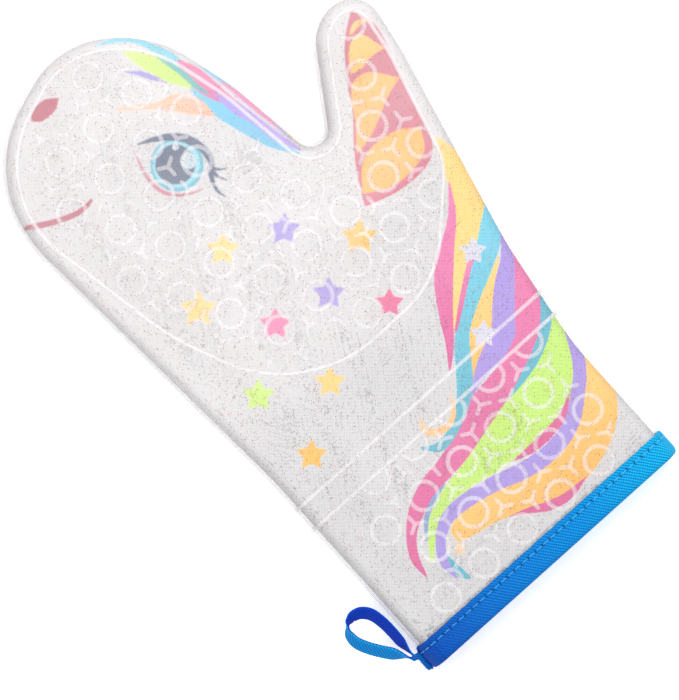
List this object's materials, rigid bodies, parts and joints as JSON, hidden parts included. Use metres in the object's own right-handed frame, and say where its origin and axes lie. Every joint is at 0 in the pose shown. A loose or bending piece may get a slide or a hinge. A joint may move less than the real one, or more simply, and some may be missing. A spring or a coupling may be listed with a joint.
{
  "type": "oven mitt",
  "caption": "Moulded silicone oven mitt with a thumb, ring and Y grip treads, a printed padded liner, a taped cuff and a hanging loop.",
  "frame": {"origin": "middle of the cuff's edge, on the plane that the mitt lies on", "axes": "+Z out of the front face, +Y from the cuff to the fingertips, +X towards the thumb"},
  "size_m": [0.2068, 0.3311, 0.0304],
  "materials": {
    "silicone": "translucent milky silicone with fine glitter, satin",
    "printed_fabric": "plain-woven polyester with a coloured print",
    "wadding": "needled wadding",
    "lining": "plain-woven cotton",
    "blue_tape": "woven bias tape",
    "thread": "twisted sewing thread"
  },
  "bodies": {
    "mitt": {"silicone_shell": "silicone", "upper_wrist_line": "silicone", "lower_wrist_line": "silicone", "palm_bead_front": "silicone", "palm_bead_back": "silicone", "palm_rings_front": "silicone", "palm_rings_back": "silicone", "palm_y_treads_front": "silicone", "palm_y_treads_back": "silicone", "cuff_rings_front": "silicone", "cuff_rings_back": "silicone", "cuff_y_treads_front": "silicone", "cuff_y_treads_back": "silicone", "printed_fabric_front": "printed_fabric", "printed_fabric_back": "printed_fabric", "wadding_front": "wadding", "wadding_back": "wadding", "lining_front": "lining", "lining_back": "lining", "cuff_binding": "blue_tape", "loop_tab": "blue_tape", "binding_stitches_front": "thread", "binding_stitches_back": "thread", "loop_bar_tack": "thread"},
    "loop": {"hang_loop": "blue_tape"}
  },
  "joints": [
    {"name": "loop_swing", "type": "hinge", "parent": "mitt", "child": "loop", "pos_m": [-0.0796, 0.01, 0.0152], "axis": [0, 0, 1], "range_deg": [-5, 132]}
  ]
}
